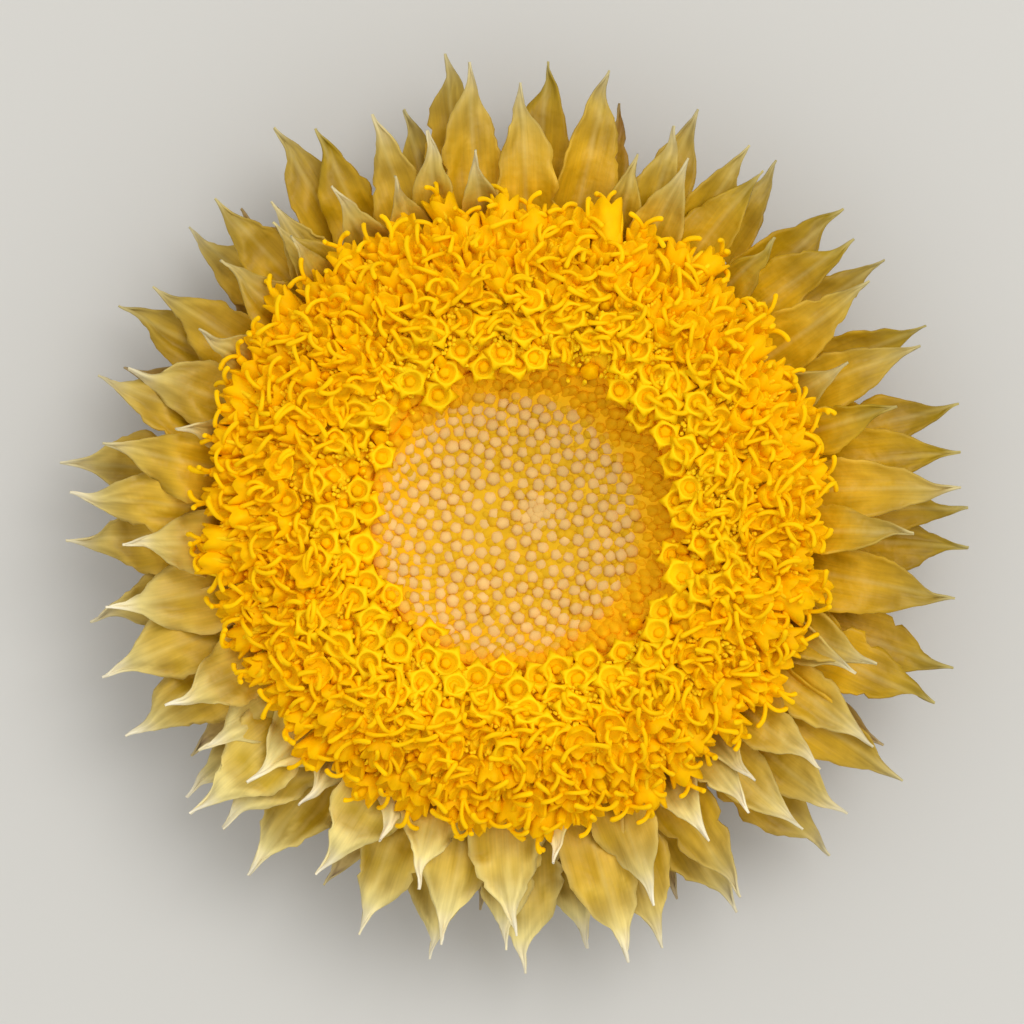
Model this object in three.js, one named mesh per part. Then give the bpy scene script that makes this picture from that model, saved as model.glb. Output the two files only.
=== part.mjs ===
// The head of a yellow everlasting daisy, picked close under the flower and lying face up.
// Millimetres, +Z up out of the face. The origin lies on the surface that the head rests on,
// under the middle of the head. Bearings are in degrees, clockwise from +Y as seen from above.

import * as THREE from "three";

// Driving dimensions
const HEAD_SPAN = 40; // tip to tip of the longest bracts
const DISC_DIAMETER = 27.8; // across the open florets
const PIT_DIAMETER = 13.8; // across the hollow over the unopened florets
const PIT_OFFSET = [0.85, -0.4]; // the hollow's middle, along X and Y from the middle of the disc
const STEM_DIAMETER = 2.6;
const RECEPTACLE_DIAMETER = 16.2;
const BUD_SEAT_RADIUS = 5.2; // the unopened florets' share of the receptacle
const SEAT_GAP = 0.3; // free space between pieces that touch in the flower
const BRACT_THICKNESS = 0.25;
const LONG_BRACT_WIDTH = 3.6;
const BASAL_BRACT_WIDTH = 3.9;
const BASAL_BRACT_REACH = 9.8;
const BASAL_BRACT_COUNT = 9;
const SHINGLE_RISE = 0.56; // how far apart two overlapping layers of bracts are seated

// Heights above the surface
const STEM_JOINS = 1.7;
const RECEPTACLE_RIM_BOTTOM = 2.35;
const RECEPTACLE_RIM_TOP = 4.35;
const RECEPTACLE_CROWN = 4.7;
const FLORET_SEAT = RECEPTACLE_CROWN + SEAT_GAP;
const BUD_CROWN = 8.6;
const PIT_RIM = 10;
const FLORET_CROWN = 11.5;

const ROUND_SEGMENTS = 48;
const RING_SEGMENTS = 72;

// Each long bract: the bearing of its tip, how far the tip reaches from the middle of the head
// as a share of half the span, and how many degrees the tip sways past the middle of the blade.
const OUTER_BRACTS = [
  [4.1, 0.995, 0], [24.4, 0.97, 0], [36.6, 0.96, -1], [47.2, 0.98, 1],
  [55.6, 0.98, 0], [65.6, 0.99, 1.5], [76.4, 1.0, 0], [89.2, 0.99, 0],
  [94.3, 1.0, -0.7], [109.5, 1.02, -0.5], [137.5, 1.02, -3], [151.3, 1.005, -2],
  [170.5, 0.97, -1.5], [178.7, 1.01, -0.5], [191, 1.0, -2.5], [216.7, 0.99, 0.5],
  [229.2, 0.955, 0], [255.6, 0.96, -1], [276.3, 1.005, -1.7], [297.6, 0.98, 0],
  [311.4, 0.955, 1], [328, 0.995, 0.5], [344.7, 0.92, 0], [351.1, 1.02, 0],
];
const INNER_BRACTS = [
  [12.1, 0.99, 0.6], [32.6, 0.95, 0.6], [51.1, 0.95, 2], [67.6, 0.955, 0.5],
  [82.4, 0.98, 1.5], [101, 0.975, 0], [114.5, 1.005, 0], [124.5, 1.025, 0],
  [132.2, 0.98, -2.5], [149.6, 0.97, -1], [161.2, 1.005, 0], [165.8, 1.01, -1.5],
  [181.2, 0.955, -1], [189.7, 0.955, 1], [200.5, 0.985, 0], [222.4, 0.94, 0],
  [240.4, 0.985, -1.5], [248.5, 0.97, 0], [266.7, 0.985, 0.7], [288.2, 0.955, 2],
  [302, 0.935, 0.5], [316.3, 0.945, 0], [332.6, 0.945, 0.5], [354, 0.985, 1.5],
];

// Shares of a bract's length and of its full width, from its seat to its tip
const LONG_OUTLINE = [[0, 0.53], [0.3, 0.62], [0.62, 1], [0.82, 0.62], [0.93, 0.28], [1, 0.09]];
const BASAL_OUTLINE = [[0, 0.38], [0.3, 0.72], [0.6, 1], [0.85, 0.6], [1, 0.12]];
const LONG_STEPS = 9;
const BASAL_STEPS = 8;
const LONG_CUP = 0.28; // how far a blade's edges stand above its midrib where it is widest
const BASAL_CUP = 0.2;

// The lowest layer of long bracts leaves the receptacle nearly level, and each layer above it is
// seated higher and stands steeper. Points are [distance from the middle, height, rise a layer].
const BRACT_SEAT = RECEPTACLE_DIAMETER / 2 + SEAT_GAP;
const LONG_PROFILE = [
  [BRACT_SEAT, 2.5, SHINGLE_RISE],
  [10.6, 3.7, 0.7],
  [14.4, 5.3, 0.8],
];
const LONG_TIP = { height: 4.2, rise: 1.0 };

// The basal bracts bend down from under the receptacle and carry the head on their tips.
const BASAL_PROFILE = [
  [STEM_DIAMETER / 2 + 1.1, 1.2],
  [4.6, 1.2],
  [5.6, BRACT_THICKNESS / 2],
  [BASAL_BRACT_REACH, BRACT_THICKNESS / 2],
];

const FINISH = {
  stem: { color: 0x9a9468, roughness: 0.9 },
  outerBract: { color: 0xc9a032, roughness: 0.5 },
  innerBract: { color: 0xd8b243, roughness: 0.5 },
  basalBract: { color: 0xb59a5a, roughness: 0.6 },
  openFloret: { color: 0xf8c009, roughness: 0.6 },
  floretBud: { color: 0xf0b452, roughness: 0.6 },
};

function material(finish) {
  return new THREE.MeshStandardMaterial({ ...finish, metalness: 0 });
}

function named(name, geometry, finish) {
  const mesh = new THREE.Mesh(geometry, material(finish));
  mesh.name = name;
  return mesh;
}

// A solid of revolution about Z from [radius, height] points
function turned(points, segments) {
  const profile = points.map(([radius, height]) => new THREE.Vector2(radius, height));
  return new THREE.LatheGeometry(profile, segments).rotateX(Math.PI / 2);
}

// A thin blade bent along a profile in the plane through the axis. The box that it starts from
// has its length along X, its width along Y and its thickness along Z.
function bladeGeometry({ profile, outline, width, cup, steps, bearing, sway }) {
  const points = profile.map(([radius, height]) => new THREE.Vector2(radius, height));
  const rib = new THREE.CubicBezierCurve(...points);
  const edge = new THREE.SplineCurve(outline.map(([along, share]) => new THREE.Vector2(along, share)));
  const geometry = new THREE.BoxGeometry(1, 1, 1, steps, 2, 1);
  const position = geometry.getAttribute("position");
  for (let i = 0; i < position.count; i++) {
    const along = THREE.MathUtils.clamp(position.getX(i) + 0.5, 0, 1);
    const share = widthShare(edge, along);
    const across = position.getY(i) * width * share;
    const lift = position.getZ(i) * BRACT_THICKNESS + cup * (2 * share * position.getY(i)) ** 2;
    const middle = rib.getPoint(along);
    const forward = rib.getTangent(along);
    const radius = middle.x - forward.y * lift;
    const height = middle.y + forward.x * lift;
    const angle = THREE.MathUtils.degToRad(bearing - sway * (1 - along ** 2));
    position.setXYZ(
      i,
      radius * Math.sin(angle) - across * Math.cos(angle),
      radius * Math.cos(angle) + across * Math.sin(angle),
      height,
    );
  }
  geometry.computeVertexNormals();
  return geometry;
}

// The outline's width where its curve passes a given share of the length
function widthShare(edge, along) {
  let low = 0;
  let high = 1;
  for (let i = 0; i < 24; i++) {
    const middle = (low + high) / 2;
    if (edge.getPoint(middle).x < along) low = middle;
    else high = middle;
  }
  return edge.getPoint(low).y;
}

function longBract(name, [bearing, share, sway], layer, finish) {
  const reach = (share * HEAD_SPAN) / 2;
  const seated = LONG_PROFILE.map(([radius, height, rise]) => [radius, height + rise * layer]);
  const profile = [...seated, [reach, LONG_TIP.height + LONG_TIP.rise * layer]];
  const blade = { profile, outline: LONG_OUTLINE, width: LONG_BRACT_WIDTH, cup: LONG_CUP };
  return named(name, bladeGeometry({ ...blade, steps: LONG_STEPS, bearing, sway }), finish);
}

// Neighbours in a series overlap like shingles, so every second one sits a layer higher.
function bractSeries(name, rows, lowestLayer, finish) {
  return rows.map((row, i) =>
    longBract(`${name}_${String(i + 1).padStart(2, "0")}`, row, lowestLayer + (i % 2), finish),
  );
}

function basalBracts() {
  return Array.from({ length: BASAL_BRACT_COUNT }, (_, i) => {
    const blade = { profile: BASAL_PROFILE, outline: BASAL_OUTLINE, width: BASAL_BRACT_WIDTH };
    const bearing = (i * 360) / BASAL_BRACT_COUNT;
    const geometry = bladeGeometry({ ...blade, cup: BASAL_CUP, steps: BASAL_STEPS, bearing, sway: 0 });
    return named(`basal_bract_${i + 1}`, geometry, FINISH.basalBract);
  });
}

// The cut stalk and the receptacle, which is the stalk's own widened top
function stemAndReceptacle() {
  const stem = STEM_DIAMETER / 2;
  const rim = RECEPTACLE_DIAMETER / 2;
  const points = [
    [0, 0],
    [stem, 0],
    [stem, STEM_JOINS - 0.3],
    [stem + 0.3, STEM_JOINS],
    [rim - 0.5, RECEPTACLE_RIM_BOTTOM - 0.1],
    [rim, RECEPTACLE_RIM_BOTTOM + 0.1],
    [rim, RECEPTACLE_RIM_TOP],
    [rim / 2, RECEPTACLE_CROWN - 0.08],
    [0, RECEPTACLE_CROWN],
  ];
  return named("stem_and_receptacle", turned(points, ROUND_SEGMENTS), FINISH.stem);
}

// Florets lean towards the middle of the hollow, and less so the nearer they are to the edge.
function leaned(geometry) {
  const position = geometry.getAttribute("position");
  const edge = DISC_DIAMETER / 2;
  for (let i = 0; i < position.count; i++) {
    const radius = Math.hypot(position.getX(i), position.getY(i));
    const rise = THREE.MathUtils.mapLinear(position.getZ(i), FLORET_SEAT, PIT_RIM, 0, 1);
    const inward = 1 - THREE.MathUtils.smoothstep(radius, PIT_DIAMETER / 2, edge);
    const share = THREE.MathUtils.clamp(rise, 0, 1) * inward;
    position.setX(i, position.getX(i) + PIT_OFFSET[0] * share);
    position.setY(i, position.getY(i) + PIT_OFFSET[1] * share);
  }
  geometry.computeVertexNormals();
  return geometry;
}

// The unopened florets in the middle, which fan out a little from their seat
function floretBuds() {
  const points = [
    [0, FLORET_SEAT],
    [BUD_SEAT_RADIUS, FLORET_SEAT],
    [BUD_SEAT_RADIUS + 0.85, BUD_CROWN - 1.3],
    [BUD_SEAT_RADIUS + 0.9, BUD_CROWN - 0.8],
    [BUD_SEAT_RADIUS + 0.5, BUD_CROWN - 0.45],
    [BUD_SEAT_RADIUS / 2, BUD_CROWN - 0.1],
    [0, BUD_CROWN],
  ];
  return named("floret_buds", leaned(turned(points, ROUND_SEGMENTS)), FINISH.floretBud);
}

// The ring of open florets, which lean further out towards its edge
function openFlorets() {
  const pit = PIT_DIAMETER / 2;
  const edge = DISC_DIAMETER / 2;
  const seat = BUD_SEAT_RADIUS + SEAT_GAP + 0.1;
  const points = [
    [seat, FLORET_SEAT],
    [RECEPTACLE_DIAMETER / 2, FLORET_SEAT],
    [9.6, 6.6],
    [11.6, 8.1],
    [edge - 0.4, 8.8],
    [edge, 9.3],
    [edge - 0.3, 9.9],
    [12.2, 10.8],
    [10.2, FLORET_CROWN],
    [8.4, FLORET_CROWN - 0.1],
    [7.3, FLORET_CROWN - 0.7],
    [pit, PIT_RIM],
    [seat + 0.85, BUD_CROWN - 1.3],
    [seat, FLORET_SEAT],
  ];
  return named("open_florets", leaned(turned(points, RING_SEGMENTS)), FINISH.openFloret);
}

function flowerHead() {
  const head = new THREE.Group();
  head.add(stemAndReceptacle(), floretBuds(), openFlorets(), ...basalBracts());
  head.add(...bractSeries("outer_bract", OUTER_BRACTS, 0, FINISH.outerBract));
  head.add(...bractSeries("inner_bract", INNER_BRACTS, 2, FINISH.innerBract));
  const middle = new THREE.Box3().setFromObject(head, true).getCenter(new THREE.Vector3());
  head.position.set(-middle.x, -middle.y, 0);
  return head;
}

export default flowerHead();
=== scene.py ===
"""Looks for the head of a yellow everlasting daisy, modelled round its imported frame.

Laid out as an add-on and run as a script. Lengths are metres in the frame's own axes, unless a
name ends in _MM. Bearings are degrees clockwise from +Y, as seen from above.
"""

import math
import random
from bisect import bisect_right
from functools import partial

import bmesh
import bpy
from bpy.props import FloatProperty, FloatVectorProperty, IntProperty, PointerProperty
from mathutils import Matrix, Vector, kdtree, noise


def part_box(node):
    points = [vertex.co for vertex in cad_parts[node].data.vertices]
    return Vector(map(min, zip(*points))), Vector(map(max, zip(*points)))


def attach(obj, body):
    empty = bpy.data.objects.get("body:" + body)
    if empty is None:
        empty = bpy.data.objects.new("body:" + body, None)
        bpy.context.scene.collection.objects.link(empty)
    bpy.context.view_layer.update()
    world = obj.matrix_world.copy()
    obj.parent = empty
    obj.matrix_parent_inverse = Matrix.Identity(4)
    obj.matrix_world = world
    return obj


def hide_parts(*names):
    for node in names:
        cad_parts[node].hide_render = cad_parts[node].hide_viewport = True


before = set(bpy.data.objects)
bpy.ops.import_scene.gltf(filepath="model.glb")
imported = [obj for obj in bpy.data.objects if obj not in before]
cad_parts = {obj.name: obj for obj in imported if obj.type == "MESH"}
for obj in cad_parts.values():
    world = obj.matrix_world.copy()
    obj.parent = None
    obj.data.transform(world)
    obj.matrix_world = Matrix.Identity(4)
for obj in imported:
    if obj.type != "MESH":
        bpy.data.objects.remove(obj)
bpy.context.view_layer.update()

bl_info = {
    "name": "Everlasting Daisy Head",
    "version": (1, 0, 0),
    "blender": (4, 5, 0),
    "location": "3D View > Sidebar > Daisy",
    "description": "Models the bracts, florets and stem of a yellow everlasting daisy head",
    "category": "Add Mesh",
}

MM = 0.001
UP = Vector((0, 0, 1))
GOLDEN_ANGLE = math.pi * (3 - math.sqrt(5))
SEED = 20
# noise_vector would differ from run to run without this
noise.seed_set(SEED)

# Half widths of a bract by the distance from its tip, both in mm: one that tapers evenly, and
# one with round shoulders under a drawn-out point
TAPERED_MM = [(0, 0.01), (0.3, 0.06), (0.7, 0.16), (1.2, 0.34), (1.9, 0.65), (3.0, 1.06),
              (4.4, 1.36), (6.2, 1.6), (8.5, 1.55), (12.5, 0.95)]
SHOULDERED_MM = [(0, 0.015), (0.5, 0.1), (1.0, 0.22), (1.5, 0.44), (2.0, 0.84), (2.6, 1.26),
                 (3.5, 1.62), (4.8, 1.86), (6.5, 1.86), (9.0, 1.55), (12.5, 1.0)]

# How the bracts change round the head: bearing, share of shoulder, paleness, droop of the point. The paleness
# is partly the film's own and partly painted light, strongest on the lower left
ROUND_THE_HEAD = [
    (0, 0.2, 0.05, 0.1), (45, 0.15, 0.03, 0.0), (90, 0.2, 0.0, 0.0), (135, 0.35, 0.15, 0.2),
    (165, 0.55, 0.42, 0.5), (195, 0.8, 0.6, 0.8), (225, 0.95, 0.6, 1.0), (255, 0.85, 0.27, 0.9),
    (285, 0.6, 0.13, 0.6), (320, 0.35, 0.06, 0.25), (360, 0.2, 0.05, 0.1),
]

# Bracts that have no node of their own: bearing of the tip, and its distance from the middle
UPPER_MM = [
    (0.7, 18.7), (22.4, 18.2), (36.0, 18.4), (56.8, 18.4), (86.9, 19.4), (123.1, 18.6),
    (137.7, 18.6), (160.5, 18.1), (179.8, 18.4), (208.9, 18.0), (227.6, 19.3), (233.1, 17.2),
    (257.0, 18.3), (272.4, 19.4), (290.7, 18.0), (322.0, 17.2), (340.4, 18.4),
]
INNERMOST_MM = [
    (18.8, 16.4), (26.0, 17.1), (43.3, 16.4), (65.7, 15.8), (74.4, 17.2), (93.0, 17.3),
    (112.7, 17.0), (115.3, 16.3), (130.0, 17.3), (142.0, 16.5), (149.4, 16.5), (194.2, 16.8),
    (216.5, 15.6), (225.2, 16.4), (241.2, 17.3), (265.4, 17.0), (279.6, 18.1), (310.7, 16.8),
    (320.2, 16.4), (330.6, 16.2), (346.9, 17.0),
]
CLOSEST_MM = [
    (138.1, 15.4), (173.8, 15.1), (202.2, 15.0), (283.9, 15.0), (300.2, 15.8), (321.0, 15.4),
    (340.3, 15.5), (353.7, 15.7),
]
# Short ones that close the gap between the long bracts and these, seen only from the side
FILLING_MM = [(12 * i + 4, 14.0 + 0.3 * (i % 2)) for i in range(30)]
BROWN_TIPS_MM = [
    (14.4, 18.6), (122.1, 19.1), (157.2, 18.4), (185.0, 17.5), (207.0, 18.5), (233.0, 17.9),
    (247.0, 18.0), (290.4, 18.4), (318.0, 18.0),
]


def linear(code):
    """Turns an sRGB hex code into the linear colour that shaders take."""
    parts = [int(code[i:i + 2], 16) / 255 for i in (0, 2, 4)]
    return tuple(p / 12.92 if p <= 0.04045 else ((p + 0.055) / 1.055) ** 2.4 for p in parts) + (1.0,)


def colour(name, code, text):
    return FloatVectorProperty(name=name, description=text, subtype="COLOR", size=4, min=0, max=1,
                               default=linear(code))


def length(name, value, text):
    return FloatProperty(name=name, description=text, default=value, unit="LENGTH", precision=5)


def power(name, value, text):
    return FloatProperty(name=name, description=text, default=value, unit="POWER")


def count(name, value, text):
    return IntProperty(name=name, description=text, default=value)


class DaisyBractSettings(bpy.types.PropertyGroup):
    film: length("Film", 0.09 * MM, "Thickness of a bract")
    width: FloatProperty(name="Width", description="Width of every bract against the photo's", default=1.0)
    waviness: length("Waviness", 0.22 * MM, "How far a bract's margin waves up and down")
    # Painted light in part: the near colour is brighter than the film's own, to lift the shade that the
    # florets cast on the bracts
    near: colour("Near the florets", "DFAB0A", "Bract colour where it leaves the florets")
    middle: colour("Middle", "B78E0A", "Bract colour 3 mm from its tip")
    tip: colour("Tip", "A18517", "Bract colour near its tip")
    point: colour("Point", "B3A35F", "Colour of the drawn-out point")
    pale_near: colour("Pale near", "C4960C", "Near colour of the paler bracts")
    pale_middle: colour("Pale middle", "D6B434", "Colour of the paler bracts 3.5 mm from the tip")
    pale_tip: colour("Pale tip", "ECD98C", "Tip colour of the paler bracts")
    pale_point: colour("Pale point", "F8F0DA", "Colour of the drawn-out point of the paler bracts")
    brown: colour("Brown", "85581A", "Colour of the small weathered bracts")


class DaisyFloretSettings(bpy.types.PropertyGroup):
    bud_count: count("Buds", 400, "Unopened florets")
    rising_count: count("Rising buds", 100, "Buds on the wall of the hollow")
    open_count: count("Open florets", 400, "Florets in the ring")
    bristles: count("Bristles", 4, "Pappus bristles round each open floret")
    pitch: length("Pitch", 0.28 * MM, "Step of the spiral on the receptacle")
    arm: length("Style arm", 1.2 * MM, "Length of a style arm in the middle of the ring")
    arm_width: length("Arm width", 0.25 * MM, "Width of a style arm")
    petal: colour("Petal", "FABC00", "Colour of the corollas")
    # Painted light in part: the low colour is brighter than the petal's own, to lift the shade deep in the
    # ring
    petal_base: colour("Petal base", "FFD50E", "Colour low on the corollas")
    anther: colour("Anthers", "FABC00", "Colour of the anther columns")
    style: colour("Style", "FCC504", "Colour of the style arms")
    bud_tip: colour("Bud tip", "E8BD73", "Colour of the unopened tips")
    bud_side: colour("Bud side", "E0AD1E", "Colour between the unopened tips")
    wall: colour("Wall", "F4B410", "Colour of the florets and pappus on the wall of the hollow")
    # Painted light in part: brighter than the pappus's own colour, to lift the shade between the florets
    mat: colour("Pappus mat", "FFD414", "Colour of the matted pappus between the florets")


class DaisyStemSettings(bpy.types.PropertyGroup):
    wool: colour("Wool", "B3B08C", "Colour of the down on the stem")
    skin: colour("Skin", "7E7B48", "Colour of the stem under the down")


class DaisyStageSettings(bpy.types.PropertyGroup):
    height: length("Camera height", 360 * MM, "Height of the camera over the surface")
    view: length("View width", 44.75 * MM, "Width that the picture shows at the bracts")
    key_power: power("Key power", 1.6, "Soft key light, in watts")
    fill_power: power("Fill power", 0.1, "Overhead fill, in watts")
    surround: FloatProperty(name="Surround", description="Strength of the even light all round", default=0.9)
    floor: colour("Floor", "CAC8C3", "Colour of the pale floor")


def middle_of(low, high):
    return (low + high) / 2


AXIS = middle_of(*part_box("stem_and_receptacle")).to_2d()


def heading(bearing):
    """The level direction of a bearing."""
    angle = math.radians(bearing)
    return Vector((math.sin(angle), math.cos(angle), 0))


def around(bearing, radius, height):
    """The spot at a bearing and distance from the head's axis, and a height."""
    return heading(bearing) * radius + Vector((*AXIS, height))


def eased(table, x):
    """Reads a table of (x, value, ...) rows along a curve that never overshoots them."""
    xs = [row[0] for row in table]
    x = min(max(x, xs[0]), xs[-1])
    i = min(max(bisect_right(xs, x) - 1, 0), len(table) - 2)
    step = xs[i + 1] - xs[i]
    t = (x - xs[i]) / step

    def slope(k, column):
        if k in (0, len(table) - 1):
            return 0 if k == 0 else rise_of(k - 1, column)
        before, after = rise_of(k - 1, column), rise_of(k, column)
        return 0 if before * after <= 0 else 2 * before * after / (before + after)

    def rise_of(k, column):
        return (table[k + 1][column] - table[k][column]) / (xs[k + 1] - xs[k])

    values = []
    for column in range(1, len(table[0])):
        a, b = table[i][column], table[i + 1][column]
        m, n = slope(i, column) * step, slope(i + 1, column) * step
        values.append(a * (1 + 2 * t) * (1 - t) ** 2 + m * t * (1 - t) ** 2
                      + b * t * t * (3 - 2 * t) - n * t * t * (1 - t))
    return values[0] if len(values) == 1 else values


def noise_at(x, y, z):
    return noise.noise(Vector((x, y, z)))


def smooth(low, high, x):
    t = min(max((x - low) / (high - low), 0), 1)
    return t * t * (3 - 2 * t)


class Path:
    """A smooth line through a few spots, with a side direction carried along it."""

    def __init__(self, spots, side, steps=6):
        ends = [2 * spots[0] - spots[1], *spots, 2 * spots[-1] - spots[-2]]
        self.spots = [self.curve(ends[i:i + 4], k / steps)
                      for i in range(len(spots) - 1) for k in range(steps)]
        self.spots.append(spots[-1].copy())
        self.runs = [0.0]
        for a, b in zip(self.spots, self.spots[1:]):
            self.runs.append(self.runs[-1] + (b - a).length)
        self.length = self.runs[-1]
        last = len(self.spots) - 1
        self.aheads = [(self.spots[min(i + 1, last)] - self.spots[max(i - 1, 0)]).normalized()
                       for i in range(last + 1)]
        self.sides = []
        for ahead in self.aheads:
            side = (side - ahead * side.dot(ahead)).normalized()
            self.sides.append(side)

    @staticmethod
    def curve(four, t):
        a, b, c, d = four
        return 0.5 * (2 * b + (c - a) * t + (2 * a - 5 * b + 4 * c - d) * t ** 2
                      + (3 * b - a - 3 * c + d) * t ** 3)

    def at(self, run):
        """The spot, and the directions ahead, sideways and facing, a distance along the line."""
        i = min(max(bisect_right(self.runs, run) - 1, 0), len(self.spots) - 2)
        t = (run - self.runs[i]) / (self.runs[i + 1] - self.runs[i])
        within = min(max(t, 0), 1)
        ahead = self.aheads[i].lerp(self.aheads[i + 1], within).normalized()
        side = self.sides[i].lerp(self.sides[i + 1], within)
        side = (side - ahead * side.dot(ahead)).normalized()
        spot = self.spots[i] + (self.spots[i + 1] - self.spots[i]) * t
        return spot, ahead, side, side.cross(ahead)


# Meshes

def mesh_of(name, bm, material=None):
    """Turns a bmesh into a mesh with smooth faces."""
    mesh = bpy.data.meshes.new(name)
    bm.to_mesh(mesh)
    bm.free()
    for face in mesh.polygons:
        face.use_smooth = True
    if material:
        mesh.materials.append(material)
    return mesh


def in_scene(name, data):
    """A new object in the scene for a mesh, a light or a camera."""
    item = bpy.data.objects.new(name, data)
    bpy.context.scene.collection.objects.link(item)
    return item


def finished(name, bm, material, nodes=()):
    """Turns a bmesh into a piece that rides on the head and stands for the nodes given."""
    piece = in_scene(name, mesh_of(name, bm, material))
    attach(piece, "root")
    if nodes:
        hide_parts(*nodes)
    return piece


def turned(profile, sides):
    """A closed solid turned about Z, from its lowest point up to its highest, in a new bmesh."""
    bm = bmesh.new()
    verts = [bm.verts.new((radius, 0, height)) for radius, height in profile]
    edges = [bm.edges.new(pair) for pair in zip(verts, verts[1:])]
    bmesh.ops.spin(bm, geom=verts + edges, axis=UP, cent=(0, 0, 0), angle=math.tau, steps=sides,
                   use_merge=True)
    bmesh.ops.remove_doubles(bm, verts=bm.verts, dist=1e-8)
    bmesh.ops.recalc_face_normals(bm, faces=bm.faces)
    return bm


def planted(bm, mesh, place, **marks):
    """Adds a copy of a template with every vertex moved by place, and marks it."""
    first = len(bm.verts)
    bm.from_mesh(mesh)
    bm.verts.ensure_lookup_table()
    layers = [(bm.verts.layers.float[name], value) for name, value in marks.items()]
    for vert in bm.verts[first:]:
        for layer, value in layers:
            vert[layer] = value
        vert.co = place(vert.co)


def marked(*names):
    """A new bmesh whose vertices carry the marks named."""
    bm = bmesh.new()
    for name in names:
        bm.verts.layers.float.new(name)
    return bm


# Materials

def add_node(tree, kind, inputs=(), out=0, stops=(), **settings):
    """Adds a shader node with its settings, its inputs and a ramp's stops, and gives its output."""
    node = tree.nodes.new("ShaderNode" + kind)
    for name, value in settings.items():
        setattr(node, name, value)
    for key, value in dict(inputs).items():
        if isinstance(value, bpy.types.NodeSocket):
            tree.links.new(value, node.inputs[key])
        else:
            node.inputs[key].default_value = value
    if stops:
        ramp = node.color_ramp.elements
        while len(ramp) < len(stops):
            ramp.new(0.5)
        for element, (position, value) in zip(ramp, stops):
            element.position = position
            element.color = value
    return node.outputs[out]


def new_material(name, **constants):
    """A material with its Principled shader set, and what adds nodes to it."""
    material = bpy.data.materials.new(name)
    material.use_nodes = True
    shader = material.node_tree.nodes["Principled BSDF"]
    for key, value in constants.items():
        shader.inputs[key.replace("_", " ")].default_value = value
    return material, partial(add_node, material.node_tree)


def linked(material, **sockets):
    """Links sockets to the inputs of a material's Principled shader."""
    tree = material.node_tree
    for key, socket in sockets.items():
        tree.links.new(socket, tree.nodes["Principled BSDF"].inputs[key.replace("_", " ")])
    return material


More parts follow.
